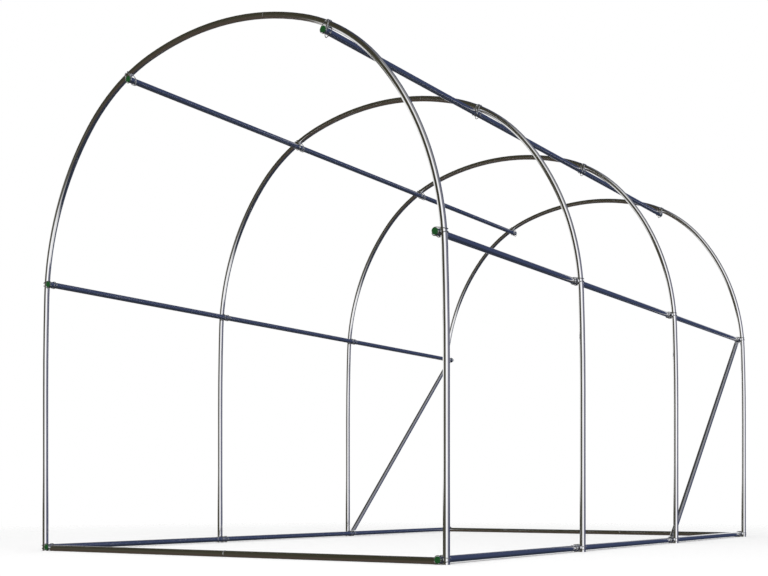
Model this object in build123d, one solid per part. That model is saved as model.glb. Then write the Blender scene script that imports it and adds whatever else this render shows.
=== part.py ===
from build123d import *
import math
import os

os.makedirs("parts", exist_ok=True)

# Bare tubular frame of a walk-in polytunnel greenhouse, standing without its cover.
# Four hoops of two tubes each carry four long purlins on their inner side. A base rail
# runs along each side and across each end, a diagonal brace stiffens the last bay on
# both sides, and one spring-wire clip grips every crossing.
# Millimetres. X across the tunnel, Y along it with the entrance end at -Y, Z up.
# The origin is on the ground under the middle of the frame.

# Tube
tube_diameter = 25.0
tube_wall = 1.2
seat_gap = 0.3

# Hoops
frame_width = 2000.0
hoop_count = 4
bay_length = 1150.0
leg_height = 678.0
leg_bow_radius = 12000.0
leg_bow_angle = 2.0
side_bend_radius = 1118.0
side_bend_angle = 40.2
shoulder_bend_radius = 764.0
shoulder_bend_angle = 31.6

# Joints, where one tube is drawn down and pushed into the next
swage_length = 50.0
swage_shoulder = 2.0
crown_joint = 205.0
front_rail_joint = 10.0
back_rail_joint = 240.0
side_rail_joint_from_hoop = 57.0

# Long tubes
side_purlin_angle = 4.65
shoulder_purlin_angle = 62.2
end_overhang = 17.0

# End caps
cap_diameter = 27.0
cap_thickness = 3.0
cap_chamfer = 1.0
cap_plug_length = 12.0
plug_sides = 8

# Spring-wire clips
wire_diameter = 3.5
wire_sides = 6
hook_end_gap = 4.8
saddle_corner = 6.0
saddle_peak = 19.6
saddle_flat = 7.0
saddle_pinch = 10.0
vee_corner = 6.0
vee_tip = 24.8
vee_flat = 5.0
clip_ground_gap = 0.3

# Braces
brace_foot_gap = 0.3
brace_head_gap = 1.5

# Worked out from the sizes above
tube_radius = tube_diameter / 2
bore_radius = tube_radius - tube_wall
swage_radius = bore_radius - seat_gap
swage_bore = swage_radius - tube_wall
cap_radius = cap_diameter / 2
half_width = frame_width / 2
tube_pitch = tube_diameter + seat_gap
wire_radius = wire_diameter / 2
wire_offset = tube_radius + wire_radius + seat_gap
clip_reach = wire_offset + wire_radius
frame_length = bay_length * (hoop_count - 1)
hoop_places = [bay_length * number - frame_length / 2 for number in range(hoop_count)]
front_hoop = hoop_places[0]
back_hoop = hoop_places[-1]
rail_x = half_width - tube_pitch
rail_z = clip_reach + clip_ground_gap


def polar(radius, angle):
    """Width and height of a point on a circle, the angle in degrees above the level."""
    turn = math.radians(angle)
    return radius * math.cos(turn), radius * math.sin(turn)


# Bends of the right half of a hoop, each as centre, radius, first angle, last angle.
# They meet tangentially, and the crown bend closes on the middle plane.
side_end = side_bend_angle
shoulder_end = side_bend_angle + shoulder_bend_angle
bow_centre = (half_width - leg_bow_radius, leg_height)
bow_step = polar(leg_bow_radius - side_bend_radius, leg_bow_angle)
side_centre = (bow_centre[0] + bow_step[0], bow_centre[1] + bow_step[1])
centre_step = polar(side_bend_radius - shoulder_bend_radius, side_end)
shoulder_centre = (side_centre[0] + centre_step[0], side_centre[1] + centre_step[1])
crown_radius = shoulder_bend_radius + shoulder_centre[0] / math.cos(math.radians(shoulder_end))
crown_step = polar(crown_radius - shoulder_bend_radius, shoulder_end)
crown_centre = (0.0, shoulder_centre[1] - crown_step[1])
leg_bow = (bow_centre, leg_bow_radius, 0.0, leg_bow_angle)
side_bend = (side_centre, side_bend_radius, leg_bow_angle, side_end)
shoulder_bend = (shoulder_centre, shoulder_bend_radius, side_end, shoulder_end)
crown_joint_angle = math.degrees(math.acos(crown_joint / crown_radius))


def crown_angle(length):
    """The angle that a length takes up along the crown bend."""
    return math.degrees(length / crown_radius)


def straight_tube(start, end, outer=tube_radius, inner=bore_radius):
    """An open round tube between two points."""
    path = Vector(*end) - Vector(*start)
    plane = Plane(origin=start, z_dir=path)
    section = Circle(outer) - Circle(inner)
    return extrude(plane * section, amount=path.length)


def bent_tube(centre, radius, low, high, outer=tube_radius, inner=bore_radius):
    """A tube bent round a centre in a hoop's plane, between two angles."""
    width, height = polar(radius, low)
    start = (centre[0] + width, 0, centre[1] + height)
    plane = Plane(origin=start, x_dir=(0, 1, 0), z_dir=(-height, 0, width))
    section = Circle(outer) - Circle(inner)
    axis = Axis((centre[0], 0, centre[1]), (0, -1, 0))
    return revolve(plane * section, axis=axis, revolution_arc=high - low)


def leg_and_shoulder():
    """What both tubes of a hoop share: the leg, which bows in a little towards its top, the
    side bend and the shoulder bend."""
    body = straight_tube((half_width, 0, 0), (half_width, 0, leg_height))
    body += bent_tube(*leg_bow)
    body += bent_tube(*side_bend)
    body += bent_tube(*shoulder_bend)
    return body


def hoop_right():
    """The right tube of a hoop, its plain open end taking the left tube's swage."""
    mouth = crown_joint_angle - crown_angle(seat_gap)
    return leg_and_shoulder() + bent_tube(crown_centre, crown_radius, shoulder_end, mouth)


def hoop_left():
    """The left tube of a hoop, over the crown to the joint, with a swage drawn on its end.
    It is bent up on the right side and then mirrored."""
    mouth = 180.0 - crown_joint_angle
    shoulder = mouth - crown_angle(swage_shoulder)
    tip = mouth + crown_angle(swage_length)
    body = leg_and_shoulder() + bent_tube(crown_centre, crown_radius, shoulder_end, shoulder)
    body += bent_tube(crown_centre, crown_radius, shoulder, mouth, tube_radius, swage_bore)
    body += bent_tube(crown_centre, crown_radius, mouth, tip, swage_radius, swage_bore)
    return mirror(body, about=Plane.YZ)


def swaged_rail(start, joint, end):
    """The two tubes of a straight rail, the first with a swage that enters the second."""
    along = (Vector(*end) - Vector(*start)).normalized()
    mouth = Vector(*joint)
    shoulder = mouth - along * swage_shoulder
    tip = mouth + along * swage_length
    first = straight_tube(start, shoulder)
    first += straight_tube(shoulder, mouth, tube_radius, swage_bore)
    first += straight_tube(mouth, tip, swage_radius, swage_bore)
    second = straight_tube(mouth + along * seat_gap, end)
    return first, second


def hoop_frame(angle, place):
    """A plane on the hoop's centre line: X along the tunnel, Y up the hoop, Z outward."""
    width, height = polar(1.0, angle)
    outward = (width, 0, height)
    if angle <= side_end:
        centre, radius = side_centre, side_bend_radius
    else:
        centre, radius = shoulder_centre, shoulder_bend_radius
    point = (centre[0] + radius * width, place, centre[1] + radius * height)
    return Plane(origin=point, x_dir=(0, 1, 0), z_dir=outward)


def spring_clip():
    """One bent wire. Two saddles pass over the outside of the hoop, pinched together, and two
    arms straddle the long tube. The arms end as two hooks at the front and close as a vee
    behind. The wire is six-sided with mitred bends."""
    side = wire_offset
    hook = -tube_pitch - wire_offset
    peak = saddle_pinch / 2
    half = [
        (-side, hook_end_gap / 2, hook),
        (-side, side, hook),
        (-side, side, saddle_corner),
        (-saddle_flat / 2, peak, saddle_peak),
        (saddle_flat / 2, peak, saddle_peak),
        (side, side, saddle_corner),
        (side, side, -tube_pitch - vee_corner),
        (side, vee_flat / 2, -tube_pitch - vee_tip),
    ]
    other = [(along, -up, outward) for along, up, outward in reversed(half)]
    path = Polyline(*half, *other)
    section = Plane(origin=path @ 0, z_dir=path % 0) * RegularPolygon(wire_radius, wire_sides)
    return sweep(section, path=path, transition=Transition.RIGHT)


def end_cap():
    """A plastic plug with a rim a little wider than the tube. The tube's end is at Z = 0."""
    face = Pos(0, 0, seat_gap + cap_thickness / 2) * Cylinder(cap_radius, cap_thickness)
    rim = face.edges().sort_by(Axis.Z)[-1]
    face = chamfer(rim, cap_chamfer)
    plug = extrude(RegularPolygon(swage_radius, plug_sides), amount=cap_plug_length + seat_gap)
    return face + Pos(0, 0, -cap_plug_length) * plug


def write(node, *solids):
    """Write one named piece, or several like pieces that share a name."""
    shape = solids[0] if len(solids) == 1 else Compound(children=list(solids))
    export_step(shape, f"parts/{node}.step")


def both_sides(name, *right_solids):
    """Write a piece for the right side and its mirror image for the left side."""
    write(f"{name}_right", *right_solids)
    write(f"{name}_left", *[mirror(solid, about=Plane.YZ) for solid in right_solids])


# Hoops, numbered from the entrance end
left_tube = hoop_left()
right_tube = hoop_right()
for number, place in enumerate(hoop_places, start=1):
    write(f"hoop_{number}_left", Pos(0, place, 0) * left_tube)
    write(f"hoop_{number}_right", Pos(0, place, 0) * right_tube)

# Purlins and side rails, with their end caps and clips
clip = spring_clip()
cap = end_cap()
front_end = front_hoop - end_overhang
back_end = back_hoop + end_overhang
joint_place = hoop_places[1] - side_rail_joint_from_hoop


def caps_at(width, height):
    """The two end caps of a long tube."""
    front = Plane(origin=(width, front_end, height), z_dir=(0, -1, 0)) * cap
    back = Plane(origin=(width, back_end, height), z_dir=(0, 1, 0)) * cap
    return front, back


purlin_centres = {}
for name, angle in (("side", side_purlin_angle), ("shoulder", shoulder_purlin_angle)):
    seats = [hoop_frame(angle, place) for place in hoop_places]
    centre = seats[0].origin - seats[0].z_dir * tube_pitch
    purlin_centres[name] = centre
    tube = straight_tube((centre.X, front_end, centre.Z), (centre.X, back_end, centre.Z))
    both_sides(f"{name}_purlin", tube)
    both_sides(f"{name}_purlin_caps", *caps_at(centre.X, centre.Z))
    both_sides(f"{name}_purlin_clips", *[seat * clip for seat in seats])

front_part, back_part = swaged_rail(
    (rail_x, front_end, rail_z), (rail_x, joint_place, rail_z), (rail_x, back_end, rail_z)
)
both_sides("side_rail_front", front_part)
both_sides("side_rail_back", back_part)
both_sides("side_rail_caps", *caps_at(rail_x, rail_z))
leg_seats = [
    Plane(origin=(half_width, place, rail_z), x_dir=(0, 1, 0), z_dir=(1, 0, 0))
    for place in hoop_places
]
both_sides("side_rail_clips", *[seat * clip for seat in leg_seats])

# End rails, flat on the ground between the side rails, in line with the end hoops
rail_end = rail_x - tube_radius - seat_gap
for name, place, joint in (
    ("front", front_hoop, front_rail_joint),
    ("back", back_hoop, back_rail_joint),
):
    left_part, right_part = swaged_rail(
        (-rail_end, place, tube_radius), (joint, place, tube_radius), (rail_end, place, tube_radius)
    )
    write(f"{name}_rail_left", left_part)
    write(f"{name}_rail_right", right_part)

# Braces in the last bay, from the side rail at the third hoop up to the side purlin at the
# last. Both ends are sawn level and stand clear of the clips by a hair.
head = purlin_centres["side"]
foot = Vector(rail_x, hoop_places[-2], rail_z)
top = Vector(head.X, back_hoop, head.Z)
body = straight_tube(foot, top)
foot_cut = Plane(origin=(0, 0, rail_z + clip_reach + brace_foot_gap), z_dir=(0, 0, 1))
head_cut = Plane(origin=(0, 0, head.Z - clip_reach - brace_head_gap), z_dir=(0, 0, 1))
body = split(body, bisect_by=foot_cut, keep=Keep.TOP)
body = split(body, bisect_by=head_cut, keep=Keep.BOTTOM)
both_sides("brace", body)
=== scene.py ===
# %% [markdown]
# # Polytunnel greenhouse frame
# The object is the bare steel frame of a walk-in polytunnel: four bent hoops, long purlins,
# base rails, two braces, green end caps and a spring-wire clip at each crossing.
# The solids come from the CAD model. This script adds what the eye looks for: bright
# galvanised steel that mirrors its surroundings, smooth wire clips, the fine lips of the
# tube joints, and the studio that the frame stands in.

import math

import bmesh
import bpy
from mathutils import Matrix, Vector


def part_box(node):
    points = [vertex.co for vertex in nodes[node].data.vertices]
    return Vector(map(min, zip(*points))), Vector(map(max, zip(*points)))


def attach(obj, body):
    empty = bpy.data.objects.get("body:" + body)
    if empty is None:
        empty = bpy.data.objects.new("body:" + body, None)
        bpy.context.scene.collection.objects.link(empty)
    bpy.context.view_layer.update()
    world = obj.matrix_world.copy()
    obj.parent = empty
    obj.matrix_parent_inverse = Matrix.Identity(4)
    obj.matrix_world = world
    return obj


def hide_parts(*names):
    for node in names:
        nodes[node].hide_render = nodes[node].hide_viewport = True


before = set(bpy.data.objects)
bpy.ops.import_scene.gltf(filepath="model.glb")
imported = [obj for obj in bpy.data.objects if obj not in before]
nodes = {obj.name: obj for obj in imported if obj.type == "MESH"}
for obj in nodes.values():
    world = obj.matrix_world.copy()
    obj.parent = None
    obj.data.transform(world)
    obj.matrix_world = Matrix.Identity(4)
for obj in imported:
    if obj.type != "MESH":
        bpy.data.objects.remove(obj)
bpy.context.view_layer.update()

# %% [markdown]
# ## Driving sizes
# The whole frame is made of one size of tube, and its hoops are bent cold on rollers. A hoop
# could be drawn by eye as a free curve, but rollers leave arcs, and arcs that meet
# tangentially are known everywhere from a few radii and angles. So the hoop is a straight
# leg, a slight bow, a side bend, a shoulder bend and a flat crown, as in the CAD model. The
# clips and joint lips are placed on that same line.

# %% Tube and hoop sizes in metres
TUBE_RADIUS = 0.0125
SEAT_GAP = 0.0003
TUBE_PITCH = 2 * TUBE_RADIUS + SEAT_GAP
HALF_WIDTH = 1.0
LEG_HEIGHT = 0.678
LEG_BOW = 12.0
LEG_BOW_END = math.radians(2.0)
SIDE_BEND = 1.118
SIDE_DEGREES = 40.2
SIDE_BEND_END = math.radians(SIDE_DEGREES)
SHOULDER_BEND = 0.764
SHOULDER_DEGREES = 31.6
SHOULDER_BEND_END = math.radians(SIDE_DEGREES + SHOULDER_DEGREES)
print("the long tubes lie", round(TUBE_PITCH, 4), "inside the line of the hoops")


# %% Centres of the bends
def toward(angle):
    """A direction in the plane of a hoop, at an angle up from straight out to the right."""
    return Vector((math.cos(angle), 0, math.sin(angle)))


bow_centre = Vector((HALF_WIDTH - LEG_BOW, 0, LEG_HEIGHT))
side_centre = bow_centre + (LEG_BOW - SIDE_BEND) * toward(LEG_BOW_END)
shoulder_centre = side_centre + (SIDE_BEND - SHOULDER_BEND) * toward(SIDE_BEND_END)
crown_radius = SHOULDER_BEND + shoulder_centre.x / math.cos(SHOULDER_BEND_END)
crown_centre = shoulder_centre - (crown_radius - SHOULDER_BEND) * toward(SHOULDER_BEND_END)
print("crown radius", round(crown_radius, 4), "crown centre height", round(crown_centre.z, 4))

# %% [markdown]
# ## Places read from the CAD model
# The new pieces sit on the tubes. Their places could be numbers copied from the CAD source,
# but those go wrong when the model changes. The boxes of the CAD nodes always tell where
# each tube really is, so the places are read from them.

# %% Where the tubes are
ACROSS, LENGTHWISE = 0, 1
LOW_END, HIGH_END = 0, 1


def box_centre(node):
    """The middle of a CAD node's box."""
    low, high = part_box(node)
    return (low + high) / 2


def tube_end(node, run, end):
    """The middle of the low or high end of a straight tube that runs across or lengthwise."""
    centre = box_centre(node)
    centre[run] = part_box(node)[end][run]
    return centre


HOOP_PLACES = [box_centre(f"hoop_{number}_left").y for number in range(1, 5)]
print("hoops at", [round(place, 3) for place in HOOP_PLACES])

# %% [markdown]
# ## A path with rounded corners
# A real clip is one wire bent on round pins, so each of its corners is an arc. A Bezier curve
# could be pulled into shape by its handles, but its bends would then have no true radius.
# Here the path is a line of corners, and each is replaced by an arc of a given radius.

# %% Rounded path
ARC_STEPS = 7


def rounded_path(corners, radii):
    """Points along a polyline whose inner corners are rounded to the given radii."""
    path = [corners[0]]
    for before, corner, after, radius in zip(corners, corners[1:], corners[2:], radii):
        back = (before - corner).normalized()
        ahead = (after - corner).normalized()
        half = back.angle(ahead) / 2
        reach = radius / math.tan(half)
        middle = (back + ahead).normalized()
        centre = corner + middle * (radius / math.sin(half))
        start = corner + back * reach - centre
        end = corner + ahead * reach - centre
        angle = start.angle(end)
        for step in range(ARC_STEPS + 1):
            share = step / ARC_STEPS
            spread = math.sin(angle * (1 - share)) * start + math.sin(angle * share) * end
            path.append(centre + spread / math.sin(angle))
    path.append(corners[-1])
    return path


print("a rounded corner becomes", ARC_STEPS + 1, "points")

# %% [markdown]
# ## A round section along a path
# Wire and rolled lips are round rods that follow a line. The bevel of a curve object makes
# such a rod, but leaves its mesh to Blender. Building the mesh ring by ring keeps control of
# the number of faces and of the flat cut ends. Each ring stands square to the path and is
# turned as little as possible from the one before, so that the rod doesn't twist.


# %% Circles and directions
def circle(centre, radius, first, second, steps):
    """Points round a circle in the plane of two unit directions that are square to each other."""
    points = []
    for step in range(steps):
        angle = 2 * math.pi * step / steps
        points.append(centre + radius * (math.cos(angle) * first + math.sin(angle) * second))
    return points


def path_directions(path, closed):
    """The direction of travel at each point of a path."""
    count = len(path)
    directions = []
    for index in range(count):
        if closed:
            directions.append((path[(index + 1) % count] - path[index - 1]).normalized())
        else:
            ahead = path[min(index + 1, count - 1)]
            directions.append((ahead - path[max(index - 1, 0)]).normalized())
    return directions


print("made the helpers circle and path_directions")


# %% Sweep
def sweep(bm, path, radius, sides, closed=False):
    """Carry a round section along a path without twist and add it to a mesh."""
    directions = path_directions(path, closed)
    side = directions[0].orthogonal().normalized()
    rings = []
    for point, direction in zip(path, directions):
        side = (side - direction * side.dot(direction)).normalized()
        places = circle(point, radius, side, direction.cross(side), sides)
        rings.append([bm.verts.new(place) for place in places])
    pairs = list(zip(rings, rings[1:]))
    if closed:
        pairs.append((rings[-1], rings[0]))
    for first, second in pairs:
        for step in range(sides):
            after = (step + 1) % sides
            face = bm.faces.new((first[step], first[after], second[after], second[step]))
            face.smooth = True
    if not closed:
        bm.faces.new(list(reversed(rings[0])))
        bm.faces.new(rings[-1])


print("made the helper sweep, for the clips and the lips")

# %% [markdown]
# ## From a built mesh to a piece of the frame
# Every new piece has to be carried by the frame and to get its material. That could be written out
# for each piece, but one helper does it for all of them,


# %% Named piece
def mesh_piece(name, bm, material):
    """Turn a built mesh into a named piece that rides on the frame."""
    bmesh.ops.recalc_face_normals(bm, faces=bm.faces)
    mesh = bpy.data.meshes.new(name)
    bm.to_mesh(mesh)
    bm.free()
    mesh.materials.append(material)
    piece = bpy.data.objects.new(name, mesh)
    bpy.context.collection.objects.link(piece)
    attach(piece, "root")
    return piece


# %% [markdown]
# ## Node materials
# No surface of the real frame is one flat colour: zinc clouds over, a die leaves lines in
# the steel, and plastic has a grain. Pictures could be laid over the meshes, but they have to
# be fitted to each mesh and blur when seen close. Noise nodes work in the object's own
# coordinates, need no fitting and stay sharp at any distance.


# %% Material and ramp
def new_material(name):
    """A new node material, with its node tree and its Principled shader."""
    material = bpy.data.materials.new(name)
    material.use_nodes = True
    shader = material.node_tree.nodes["Principled BSDF"]
    return material, material.node_tree, shader


def ramp(tree, source, low, high):
    """A ramp between two stops, each a place and the grey or colour there."""
    node = tree.nodes.new("ShaderNodeValToRGB")
    for element, (place, colour) in zip(node.color_ramp.elements, (low, high)):
        element.position = place
        shade = (colour,) * 3 if isinstance(colour, float) else colour
        element.color = (*shade, 1.0)
    tree.links.new(source, node.inputs["Fac"])
    return node.outputs["Color"]


print("made the helpers new_material and ramp")


# %% Noise and relief
def noise(tree, stretch, scale, detail):
    """A noise in the object's own coordinates, with its grains stretched along the tube."""
    place = tree.nodes.new("ShaderNodeTexCoord")
    mapping = tree.nodes.new("ShaderNodeMapping")
    mapping.inputs["Scale"].default_value = stretch
    tree.links.new(place.outputs["Object"], mapping.inputs["Vector"])
    node = tree.nodes.new("ShaderNodeTexNoise")
    node.inputs["Scale"].default_value = scale
    node.inputs["Detail"].default_value = detail
    tree.links.new(mapping.outputs["Vector"], node.inputs["Vector"])
    return node.outputs["Fac"]


def relief(tree, height, strength, distance, shader):
    """A fine relief on a shader from a height value."""
    node = tree.nodes.new("ShaderNodeBump")
    node.inputs["Strength"].default_value = strength
    node.inputs["Distance"].default_value = distance
    tree.links.new(height, node.inputs["Height"])
    tree.links.new(node.outputs["Normal"], shader.inputs["Normal"])


print("made the helpers noise and relief")

# %% [markdown]
# ## Bright steel
# The tubes are galvanised and drawn through a die, so they are almost mirrors, with a faint
# cloudiness in the zinc and fine lines lengthwise. A plain metal shader would mirror too
# cleanly. One noise clouds the colour, and a finer one gives the lines in the gloss and the
# relief. A high stretch makes grains short and a low one makes them long, so each kind of
# tube has the low number along its own run.

# %% Steel for long tubes, cross tubes and hoops
LONG_STRETCH = (60.0, 4.0, 60.0)
CROSS_STRETCH = (4.0, 60.0, 60.0)
HOOP_STRETCH = (14.0, 60.0, 10.0)


def bright_steel(name, stretch, dark, light):
    """Bright drawn steel: cloudy zinc in the colour, drawing lines in the gloss and relief."""
    material, tree, shader = new_material(name)
    clouds = noise(tree, stretch, scale=0.6, detail=4.0)
    tree.links.new(ramp(tree, clouds, (0.3, dark), (0.7, light)), shader.inputs["Base Color"])
    lines = noise(tree, stretch, scale=6.0, detail=2.0)
    tree.links.new(ramp(tree, lines, (0.3, 0.03), (0.75, 0.11)), shader.inputs["Roughness"])
    relief(tree, lines, strength=0.12, distance=0.0002, shader=shader)
    shader.inputs["Metallic"].default_value = 1.0
    return material


# The lengthwise steel is faintly blue and the crosswise steel faintly warm, over the same zinc:
# painted reflection colour, the navy that the long tubes mirror and the brown that the end rails
# mirror.
steel_long = bright_steel("steel_lengthwise", LONG_STRETCH, (0.74, 0.75, 0.78), (0.84, 0.85, 0.87))
steel_cross = bright_steel("steel_crosswise", CROSS_STRETCH, (0.74, 0.74, 0.73), (0.84, 0.84, 0.83))
steel_hoop = bright_steel("steel_hoop", HOOP_STRETCH, (0.74, 0.74, 0.74), (0.84, 0.84, 0.84))
print("steels", steel_long.name, steel_cross.name, steel_hoop.name)

# %% [markdown]
# ## Spring wire
# The clips are bright spring wire with darker spots of oil. The steel of the tubes could be
# used again, but its clouds are longer than a whole clip. So the wire has a fine even noise
# of its own, which makes the dark spots a little smoother than the bright metal.

# %% Wire for the clips
EVEN = (1.0, 1.0, 1.0)
WIRE_DULL = (0.32, 0.33, 0.32)
WIRE_BRIGHT = (0.74, 0.75, 0.74)


def spring_steel():
    """Bright spring wire with darker and smoother spots of oil."""
    material, tree, shader = new_material("spring_wire")
    spots = noise(tree, EVEN, scale=420.0, detail=3.0)
    colour = ramp(tree, spots, (0.35, WIRE_DULL), (0.66, WIRE_BRIGHT))
    tree.links.new(colour, shader.inputs["Base Color"])
    tree.links.new(ramp(tree, spots, (0.3, 0.08), (0.7, 0.2)), shader.inputs["Roughness"])
    shader.inputs["Metallic"].default_value = 1.0
    return material


wire_steel = spring_steel()
print("wire", wire_steel.name)

# %% [markdown]
# ## Green plastic
# The end caps are moulded in dark green polythene. It is neither glossy nor matt, because
# the mould leaves a grain that is finer than the eye can part. A single roughness would look
# like paint. A fine noise in the colour, the gloss and the relief gives the soft, slightly
# scuffed look.

# %% Plastic for the caps
PLASTIC_DARK = (0.005, 0.062, 0.011)
PLASTIC_LIGHT = (0.010, 0.098, 0.019)


def green_plastic():
    """Moulded green polythene with a fine grain and slightly scuffed high spots."""
    material, tree, shader = new_material("green_plastic")
    grain = noise(tree, EVEN, scale=900.0, detail=2.0)
    colour = ramp(tree, grain, (0.3, PLASTIC_DARK), (0.75, PLASTIC_LIGHT))
    tree.links.new(colour, shader.inputs["Base Color"])
    tree.links.new(ramp(tree, grain, (0.3, 0.22), (0.7, 0.34)), shader.inputs["Roughness"])
    relief(tree, grain, strength=0.2, distance=0.0001, shader=shader)
    return material


cap_green = green_plastic()
print("materials", [material.name for material in bpy.data.materials])

# %% [markdown]
# ## Finish on the CAD tubes
# The CAD tubes have the right shape, so they stay and only get a better surface. Each takes
# the steel whose grain runs along it. A mirror finish shows every facet, so the faces are
# shaded smooth. Smoothing alone would also blur the cut ends, so the mesh is split at
# corners that are sharper than a set angle.

# %% Finish the CAD nodes
SHARP_CORNER = math.radians(35)


def finish_for(node):
    """The material of a CAD node, from what the node is."""
    if node.endswith(("caps_left", "caps_right")):
        return cap_green
    if node.endswith(("clips_left", "clips_right")):
        return wire_steel
    if node.startswith("hoop"):
        return steel_hoop
    if node.startswith(("front_rail", "back_rail")):
        return steel_cross
    return steel_long


def split_corners(piece):
    """Keep corners crisp on a piece that is shaded smooth."""
    edges = piece.modifiers.new("sharp_edges", "EDGE_SPLIT")
    edges.split_angle = SHARP_CORNER


for name, node in nodes.items():
    node.data.materials.clear()
    node.data.materials.append(finish_for(name))
    split_corners(node)
    node.data.shade_smooth()
print("finished", len(nodes), "CAD nodes")

# %% [markdown]
# ## The run of a spring clip
# One wire holds each crossing. It starts with its two ends hooked round the long tube in
# front of the hoop, runs out and crosses over the outside of the hoop in two saddles, comes
# back behind it and closes as a vee round the long tube. The CAD clip has the same run in
# straight pieces with mitred corners. It could stay, but the eye sees its facets. So the
# wire is built again with every bend an arc, the saddles hugging the hoop, and the wire
# round and a little finer, because that is how tight it sits in the photo.

# %% Sizes of the clip
WIRE_RADIUS = 0.0015
LOOSE_GAP = 0.0002
# From the centre of a tube to the centre of a wire that lies on it, and of a looser one
WIRE_OFFSET = TUBE_RADIUS + WIRE_RADIUS + SEAT_GAP
LOOSE_OFFSET = WIRE_OFFSET + LOOSE_GAP
# Half the distance between the two free ends, and between the two saddles
HOOK_END = 0.0024
SADDLE_HALF = 0.0050
# How far inside the hoop's surface the arms over the hoop begin and end
ARM_END = 0.0100
# Where the vee starts and ends past the centre of the long tube, and its half width at the end
VEE_START = 0.006
VEE_TIP = 0.0210
VEE_HALF = 0.0025
# Radii of the bends, from the free end to the tip of the vee
CLIP_BENDS = [0.012, 0.010, 0.0140, 0.0140, 0.010, 0.008, 0.0044]
print("the wire lies", round(WIRE_OFFSET, 4), "from the centre of a tube")


# %% Path of a clip
def clip_corners():
    """Corners of the clip as (along the long tube, up the hoop, outward from the hoop)."""
    half = [
        (-WIRE_OFFSET, HOOK_END, -TUBE_PITCH - WIRE_OFFSET),
        (-WIRE_OFFSET, WIRE_OFFSET, -TUBE_PITCH - WIRE_OFFSET),
        (-WIRE_OFFSET, LOOSE_OFFSET, -TUBE_RADIUS - ARM_END),
        (-LOOSE_OFFSET, SADDLE_HALF, LOOSE_OFFSET),
        (LOOSE_OFFSET, SADDLE_HALF, LOOSE_OFFSET),
        (WIRE_OFFSET, LOOSE_OFFSET, -TUBE_RADIUS - ARM_END),
        (WIRE_OFFSET, WIRE_OFFSET, -TUBE_PITCH - VEE_START),
        (WIRE_OFFSET, VEE_HALF, -TUBE_PITCH - VEE_TIP),
    ]
    other = [(along, -up, outward) for along, up, outward in reversed(half)]
    return half + other


def clip_path(origin, outward):
    """The rounded path of a clip on the hoop's centre line, at a point with its normal."""
    along = Vector((0, 1, 0))
    up = outward.cross(along)
    if up.z < 0:
        up = -up
    corners = []
    for step_along, step_up, step_out in clip_corners():
        corners.append(origin + step_along * along + step_up * up + step_out * outward)
    return rounded_path(corners, CLIP_BENDS + CLIP_BENDS[::-1])


print("a clip has", len(clip_corners()), "corners")

# %% [markdown]
# ## Clips at every crossing
# On the real frame all the clips are alike and are pushed on square to the hoop. So at each
# crossing the clip has to lean with the hoop. It could be turned by hand until it fits, but
# the hoop's normal is simply the line from the centre of its bend to the long tube. All four
# clips of one long tube become one piece, as in the CAD model.

# %% The way out from the hoop
side_bend_top = side_centre.z + SIDE_BEND * math.sin(SIDE_BEND_END)


def hoop_normal(centre):
    """The hoop's outward normal past a long tube whose centre is known."""
    side = math.copysign(1, centre.x)
    if centre.z < LEG_HEIGHT:
        return Vector((side, 0, 0))
    flat = Vector((abs(centre.x), 0, centre.z))
    bend_centre = side_centre if flat.z < side_bend_top else shoulder_centre
    normal = (flat - bend_centre).normalized()
    return Vector((side * normal.x, 0, normal.z))


print("the side bend ends at a height of", round(side_bend_top, 3))

# %% Bend the wires
WIRE_SIDES = 12

for level, tube_name in (
    ("side_purlin", "side_purlin"),
    ("shoulder_purlin", "shoulder_purlin"),
    ("side_rail", "side_rail_back"),
):
    for side in ("left", "right"):
        centre = box_centre(f"{tube_name}_{side}")
        normal = hoop_normal(centre)
        bm = bmesh.new()
        for place in HOOP_PLACES:
            origin = Vector((centre.x, place, centre.z)) + normal * TUBE_PITCH
            sweep(bm, clip_path(origin, normal), WIRE_RADIUS, WIRE_SIDES)
        piece = mesh_piece(f"{level}_wire_{side}", bm, wire_steel)
        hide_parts(f"{level}_clips_{side}")
        lean = tuple(round(value, 3) for value in normal)
        print(piece.name, len(piece.data.polygons), "faces, normal", lean)

# %% [markdown]
# ## The shape of an end cap
# The caps close the ends of the purlins and side rails. They are moulded in soft plastic, so
# their rims are round and their faces swell a little. The chamfered CAD cap could be bevelled,
# but its head is a little wider than the tube, and the photo's isn't. So the cap is turned
# again from one profile, from the middle of the face to the plug inside the tube.

# %% Profile of a cap
CAP_RADIUS = 0.0125
CAP_BASE = 0.0003
CAP_HEIGHT = 0.0030
CAP_RIM = 0.0022
RIM_STEPS = 6
# How far the swelling face has fallen half way out, and where the round rim begins
FACE_FALL = 0.0002
RIM_FALL = 0.0006
PLUG_RADIUS = 0.0109
PLUG_LENGTH = 0.0115


def cap_profile():
    """The turned profile of a cap as (radius, height over the tube's end)."""
    top = CAP_BASE + CAP_HEIGHT
    profile = [(0.0, top), (0.5 * CAP_RADIUS, top - FACE_FALL)]
    for step in range(RIM_STEPS + 1):
        angle = math.pi / 2 * (1 - step / RIM_STEPS)
        radius = CAP_RADIUS - CAP_RIM + CAP_RIM * math.cos(angle)
        profile.append((radius, top - RIM_FALL - CAP_RIM + CAP_RIM * math.sin(angle)))
    profile += [(CAP_RADIUS, CAP_BASE), (PLUG_RADIUS, CAP_BASE)]
    profile += [(PLUG_RADIUS, -PLUG_LENGTH), (0.0, -PLUG_LENGTH)]
    return profile


print("the profile of a cap has", len(cap_profile()), "points")

# %% [markdown]
# ## Turned caps
# A moulded cap is round about the tube's axis. A Screw modifier could turn the profile, but
# then its direction and end would have to be set for each end of each tube. A short function
# turns the profile about any line, and the two caps of one tube become one piece.

# %% Turn a profile
CAP_STEPS = 32


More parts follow.
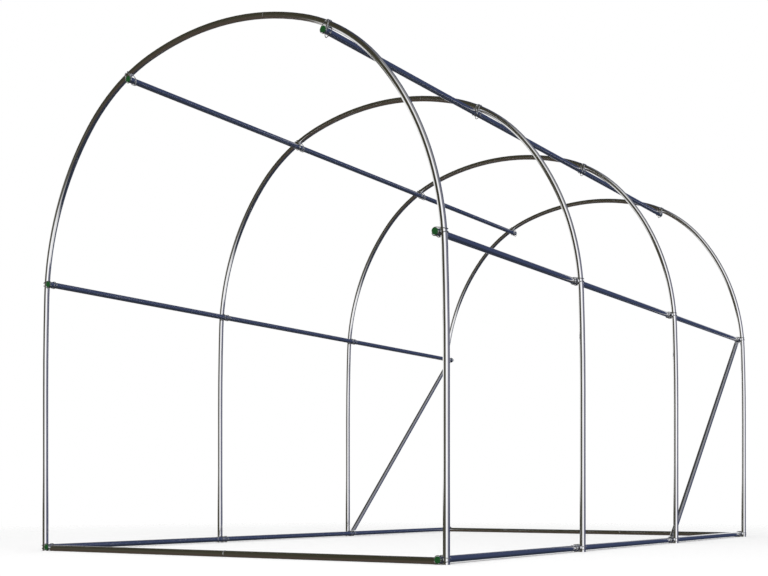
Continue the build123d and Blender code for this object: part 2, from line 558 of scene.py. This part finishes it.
def turn(bm, centre, direction, profile):
    """Turn a profile round an axis through a point and add it to a mesh."""
    first = direction.orthogonal().normalized()
    second = direction.cross(first)
    rings = []
    for radius, height in profile:
        steps = CAP_STEPS if radius else 1
        places = circle(centre + direction * height, radius, first, second, steps)
        rings.append([bm.verts.new(place) for place in places])
    for inner, outer in zip(rings, rings[1:]):
        for step in range(CAP_STEPS):
            after = (step + 1) % CAP_STEPS
            spots = ((inner, step), (outer, step), (outer, after), (inner, after))
            # A ring of one point gives the same corner twice, and the face is a triangle
            corners = [ring[index % len(ring)] for ring, index in spots]
            face = bm.faces.new(list(dict.fromkeys(corners)))
            face.smooth = True


print("a cap is turned in", CAP_STEPS, "steps")

# %% Caps on the long tubes
FORWARD = Vector((0, -1, 0))
BACKWARD = Vector((0, 1, 0))

for level, front_name, back_name in (
    ("side_purlin", "side_purlin", "side_purlin"),
    ("shoulder_purlin", "shoulder_purlin", "shoulder_purlin"),
    ("side_rail", "side_rail_front", "side_rail_back"),
):
    for side in ("left", "right"):
        bm = bmesh.new()
        front = tube_end(f"{front_name}_{side}", LENGTHWISE, LOW_END)
        back = tube_end(f"{back_name}_{side}", LENGTHWISE, HIGH_END)
        turn(bm, front, FORWARD, cap_profile())
        turn(bm, back, BACKWARD, cap_profile())
        piece = mesh_piece(f"{level}_moulded_caps_{side}", bm, cap_green)
        split_corners(piece)
        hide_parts(f"{level}_caps_{side}")
        print(piece.name, len(piece.data.polygons), "faces")

# %% [markdown]
# ## Joint lips
# Where one tube slips into the next, the mouth of the outer one is rolled very slightly, and
# light catches on it. Relief in the material could hint at it, but the outline would stay
# plain. A lip is a fine ring round the tube, finer on the hoops, where the photo shows hardly
# more than a line. The end rails lie on the ground, so there the ring is squashed flat
# underneath and stays on the floor.

# %% Ring round a tube
HOOP_LIP_RADIUS = 0.0004
RAIL_LIP_RADIUS = 0.0009
RING_STEPS = 40
LIP_SIDES = 8
FLOOR_GAP = 0.0001
RING_FLOOR = RAIL_LIP_RADIUS + FLOOR_GAP


def ring_path(centre, axis):
    """Points of a circle round a tube, none so low that its lip would dip into the floor."""
    first = axis.orthogonal().normalized()
    points = circle(centre, TUBE_RADIUS, first, axis.cross(first), RING_STEPS)
    for point in points:
        point.z = max(point.z, RING_FLOOR)
    return points


print("a lip has", RING_STEPS * LIP_SIDES, "faces")

# %% Rings at the joints
CROWN_JOINT_X = 0.205

crown_angle = math.acos(CROWN_JOINT_X / crown_radius)
crown_axis = Vector((-math.sin(crown_angle), 0, math.cos(crown_angle)))
crown_point = crown_centre + crown_radius * toward(crown_angle)
bm = bmesh.new()
for place in HOOP_PLACES:
    ring = ring_path(crown_point + Vector((0, place, 0)), crown_axis)
    sweep(bm, ring, HOOP_LIP_RADIUS, LIP_SIDES, closed=True)
for node, run, axis in (
    ("front_rail_right", ACROSS, Vector((1, 0, 0))),
    ("back_rail_right", ACROSS, Vector((1, 0, 0))),
    ("side_rail_back_left", LENGTHWISE, Vector((0, 1, 0))),
    ("side_rail_back_right", LENGTHWISE, Vector((0, 1, 0))),
):
    ring = ring_path(tube_end(node, run, LOW_END), axis)
    sweep(bm, ring, RAIL_LIP_RADIUS, LIP_SIDES, closed=True)
lips = mesh_piece("joint_lips", bm, steel_hoop)
print("joint lips", len(lips.data.polygons), "faces")

# %% [markdown]
# ## What the tubes mirror
# The tubes are near mirrors, so their look is the look of the room round the camera. The
# photo's tubes show a dark room, olive on the left and navy on the right, a bright window
# behind the camera that draws the white line down each leg, a grey ceiling, and the white
# background ahead, which thins the edges of the legs. A real room could be built of walls
# and lamps. Colours by direction in the world are quicker and give clean, quiet reflections.

# %% Colours of the room
ROOM_LEFT = (0.050, 0.047, 0.030)
ROOM_RIGHT = (0.050, 0.065, 0.130)
GROUND_LEFT = (0.078, 0.062, 0.048)
GROUND_RIGHT = (0.030, 0.038, 0.060)
DIFFUSE_GREY = (0.88, 0.88, 0.88)
WHITE = (1.0, 1.0, 1.0)
# The direction to the right of the room, and the shares of it over which left turns to right
ROOM_ACROSS = (0.84, 0.54, 0)
ACROSS_BLEND = (-0.45, 0.45)
# The shares of straight down over which the walls turn to ground
GROUND_BLEND = (0.05, 0.45)
print("room colours from", ROOM_LEFT, "to", ROOM_RIGHT)

# %% [markdown]
# ## Window, ceiling and screens
# A bright thing in the room shows as a line down a round tube, and the wider the thing, the
# wider the line. Lamps could do that too, but they would also light the floor. Here each one
# is a place in the world that only reflections see. The two last screens stand low at the
# sides. Seen from the photo's viewpoint the tubes hardly catch them, but they draw the same
# lines on the legs when the frame is looked at from its sides.

# %% Bright places in the room
# Round patches: direction, radius of the full patch and of its faded rim in degrees, colour
PATCHES = [
    ((-0.09, -0.99, 0.0), 4, 16, (0.20, 0.20, 0.17)),
    ((0.937, 0.212, 0.26), 12, 30, (0.26, 0.255, 0.32)),
    ((0.45, -0.65, 0.62), 14, 30, (1.00, 1.00, 1.02)),
    ((0.669, -0.743, 0.14), 17, 38, (1.22, 1.22, 1.25)),
    ((0.55, 0.05, 0.84), 16, 36, (0.30, 0.30, 0.31)),
    ((-0.84, -0.54, 0.0), 8, 26, (0.076, 0.072, 0.052)),
]
# Screens: middle of the sweep, its half sweep and faded rim in degrees, the heights over
# which the lower and the upper edge fade, and the grey
SCREENS = [
    ((-0.819, 0.574, 0.0), 57, 66, (-0.02, 0.02), (0.24, 0.42), 1.0),
    ((0.98, -0.09, -0.20), 20, 34, (-0.46, -0.32), (-0.13, -0.07), 0.95),
    ((-0.98, 0.0, -0.20), 18, 32, (-0.46, -0.32), (-0.13, -0.07), 0.95),
]
print(len(PATCHES), "patches and", len(SCREENS), "screens")

# %% [markdown]
# ## Nodes of the world
# The room is sums and blends of directions. Each node could be placed and linked by hand,
# but there would be more than a hundred lines alike. A few helpers, each for one kind of
# node, let the room be written down as it is thought of.


# %% Helpers for values
def combine(tree, operation, first, second):
    """A math node of two outputs."""
    node = tree.nodes.new("ShaderNodeMath")
    node.operation = operation
    tree.links.new(first, node.inputs[0])
    tree.links.new(second, node.inputs[1])
    return node.outputs[0]


def along(tree, view, direction):
    """How far a ray points along a direction, from -1 to 1."""
    node = tree.nodes.new("ShaderNodeVectorMath")
    node.operation = "DOT_PRODUCT"
    tree.links.new(view, node.inputs[0])
    node.inputs[1].default_value = Vector(direction).normalized()
    return node.outputs["Value"]


def eased(tree, value, low, high):
    """A smooth step from 0 at low to 1 at high."""
    node = tree.nodes.new("ShaderNodeMapRange")
    node.interpolation_type = "SMOOTHSTEP"
    node.inputs["From Min"].default_value = low
    node.inputs["From Max"].default_value = high
    tree.links.new(value, node.inputs["Value"])
    return node.outputs["Result"]


def cone(tree, view, direction, inner, outer):
    """1 within the inner angle of a direction, easing to 0 at the outer angle, in degrees."""
    low, high = math.cos(math.radians(outer)), math.cos(math.radians(inner))
    return eased(tree, along(tree, view, direction), low, high)


print("made the helpers combine, along, eased and cone")


# %% Helpers for colours and shaders
def blend_colours(tree, factor, first, second):
    """A mix of two colours, each either an output or plain values."""
    node = tree.nodes.new("ShaderNodeMix")
    node.data_type = "RGBA"
    tree.links.new(factor, node.inputs["Factor"])
    for socket, colour in ((node.inputs["A"], first), (node.inputs["B"], second)):
        if isinstance(colour, tuple):
            socket.default_value = (*colour, 1.0)
        else:
            tree.links.new(colour, socket)
    return node.outputs["Result"]


def background(tree, colour):
    """A background shader of a colour, either an output or plain values."""
    node = tree.nodes.new("ShaderNodeBackground")
    if isinstance(colour, tuple):
        node.inputs["Color"].default_value = (*colour, 1.0)
    else:
        tree.links.new(colour, node.inputs["Color"])
    return node.outputs[0]


def choose(tree, factor, first, second):
    """One shader where the factor is 0 and another where it is 1."""
    node = tree.nodes.new("ShaderNodeMixShader")
    tree.links.new(factor, node.inputs[0])
    tree.links.new(first, node.inputs[1])
    tree.links.new(second, node.inputs[2])
    return node.outputs[0]


print("made the helpers blend_colours, background and choose")


# %% The mirrored room
def mirrored_room(tree, view):
    """The colour of the room in the direction of a ray."""
    right = eased(tree, along(tree, view, ROOM_ACROSS), *ACROSS_BLEND)
    down = eased(tree, along(tree, view, (0, 0, -1)), *GROUND_BLEND)
    walls = blend_colours(tree, right, ROOM_LEFT, ROOM_RIGHT)
    ground = blend_colours(tree, right, GROUND_LEFT, GROUND_RIGHT)
    room = blend_colours(tree, down, walls, ground)
    for direction, inner, outer, colour in PATCHES:
        room = blend_colours(tree, cone(tree, view, direction, inner, outer), room, colour)
    height = along(tree, view, (0, 0, 1))
    for direction, inner, outer, foot, head, grey in SCREENS:
        width = cone(tree, view, direction, inner, outer)
        band = combine(tree, "SUBTRACT", eased(tree, height, *foot), eased(tree, height, *head))
        screen = combine(tree, "MULTIPLY", width, band)
        room = blend_colours(tree, screen, room, (grey, grey, grey))
    return room


print("made the helper mirrored_room")

# %% [markdown]
# ## The world
# The photo is cut out on white, lit evenly from all round, and yet its tubes mirror a dark
# room. One world colour can't be all three. The Light Path node tells the kinds of ray apart:
# what the camera sees directly is white, reflections see the room, and the diffuse light is
# an even pale grey.


# %% Build the world
def build_world():
    """White for the eye, pale for diffuse light, and a dark room for reflections."""
    world = bpy.data.worlds.new("studio")
    world.use_nodes = True
    bpy.context.scene.world = world
    tree = world.node_tree
    tree.nodes.clear()
    view = tree.nodes.new("ShaderNodeTexCoord").outputs["Generated"]
    room = mirrored_room(tree, view)
    rays = tree.nodes.new("ShaderNodeLightPath").outputs
    diffuse = background(tree, DIFFUSE_GREY)
    lit = choose(tree, rays["Is Glossy Ray"], diffuse, background(tree, room))
    direct = combine(tree, "MAXIMUM", rays["Is Camera Ray"], rays["Is Transmission Ray"])
    seen = choose(tree, direct, lit, background(tree, WHITE))
    output = tree.nodes.new("ShaderNodeOutputWorld")
    tree.links.new(seen, output.inputs["Surface"])
    return world


studio = build_world()
print("world", studio.name, "with", len(studio.node_tree.nodes), "nodes")

# %% [markdown]
# ## Floor
# The frame stands on a level white floor. A large plane would show its edge against the
# background, so the floor is a disc whose material fades to clear a few metres out. It keeps
# the soft shadows of the legs and rails. It isn't mirrored in the tubes, because the photo's
# tubes show a dark ground.

# %% Build the floor
FLOOR_RADIUS = 6.0
FLOOR_STEPS = 96
FLOOR_COLOUR = (0.96, 0.96, 0.96, 1.0)
# The shares of the radius at which the floor starts to fade and is gone
FADE_START, FADE_END = 0.35, 0.8


def floor_material():
    """A matt white that fades to clear with the distance from the middle."""
    material, tree, shader = new_material("studio_floor")
    shader.inputs["Base Color"].default_value = FLOOR_COLOUR
    shader.inputs["Roughness"].default_value = 0.8
    shader.inputs["Specular IOR Level"].default_value = 0.0
    place = tree.nodes.new("ShaderNodeTexCoord")
    distance = tree.nodes.new("ShaderNodeVectorMath")
    distance.operation = "LENGTH"
    tree.links.new(place.outputs["Object"], distance.inputs[0])
    share = tree.nodes.new("ShaderNodeMath")
    share.operation = "DIVIDE"
    share.inputs[1].default_value = FLOOR_RADIUS
    tree.links.new(distance.outputs["Value"], share.inputs[0])
    fade = ramp(tree, share.outputs[0], (FADE_START, 0.0), (FADE_END, 1.0))
    clear = tree.nodes.new("ShaderNodeBsdfTransparent").outputs[0]
    surface = choose(tree, fade, shader.outputs[0], clear)
    tree.links.new(surface, tree.nodes["Material Output"].inputs["Surface"])
    return material


bm = bmesh.new()
bmesh.ops.create_circle(bm, cap_ends=True, segments=FLOOR_STEPS, radius=FLOOR_RADIUS)
floor_mesh = bpy.data.meshes.new("floor")
bm.to_mesh(floor_mesh)
bm.free()
floor_mesh.materials.append(floor_material())
floor = bpy.data.objects.new("floor", floor_mesh)
bpy.context.collection.objects.link(floor)
floor.visible_glossy = False
print("floor of radius", FLOOR_RADIUS)

# %% [markdown]
# ## Lamp
# The shadows in a studio are soft because the light comes from a large box overhead. A point
# lamp would draw hard lines on the floor. A wide disk lamp, hung high in front of the frame
# and to its right, gives the soft ones. The tubes don't mirror it, because the room that
# they mirror has its own window.

# %% Hang the lamp
LAMP_PLACE = Vector((2.0, -4.0, 6.5))
LAMP_AIM = Vector((0.0, 0.0, 1.0))
LAMP_WIDTH = 5.0
LAMP_POWER = 120.0

lamp = bpy.data.lights.new("softbox", "AREA")
lamp.shape = "DISK"
lamp.size = LAMP_WIDTH
lamp.energy = LAMP_POWER
softbox = bpy.data.objects.new("softbox", lamp)
softbox.location = LAMP_PLACE
softbox.rotation_euler = (LAMP_AIM - LAMP_PLACE).to_track_quat("-Z", "Y").to_euler()
bpy.context.collection.objects.link(softbox)
softbox.visible_glossy = False
print("lamp of", LAMP_POWER, "W at", tuple(LAMP_PLACE))

# %% [markdown]
# ## Camera
# The photo was taken level, from just above the ground, to the right of the entrance. The
# camera could be tilted up to take in the crown, but then the legs would lean in the picture.
# The lens is shifted up instead, so the legs stay upright. Place, lens and shift come from
# fitting the four hoops and the feet to the photo.

# %% Place the camera
CAMERA_PLACE = (3.093, -5.351, 0.235)
CAMERA_TURN = 32.93
LENS = 57.09
SENSOR_WIDTH = 36.0
SHIFT_UP = 0.2712

camera_data = bpy.data.cameras.new("camera")
camera_data.lens = LENS
camera_data.sensor_width = SENSOR_WIDTH
camera_data.shift_y = SHIFT_UP
camera = bpy.data.objects.new("camera", camera_data)
camera.location = CAMERA_PLACE
camera.rotation_euler = (math.radians(90), 0, math.radians(CAMERA_TURN))
bpy.context.collection.objects.link(camera)
bpy.context.scene.camera = camera
bpy.context.scene.view_settings.view_transform = "Standard"
print("camera at", CAMERA_PLACE, "with a lens of", LENS, "mm")
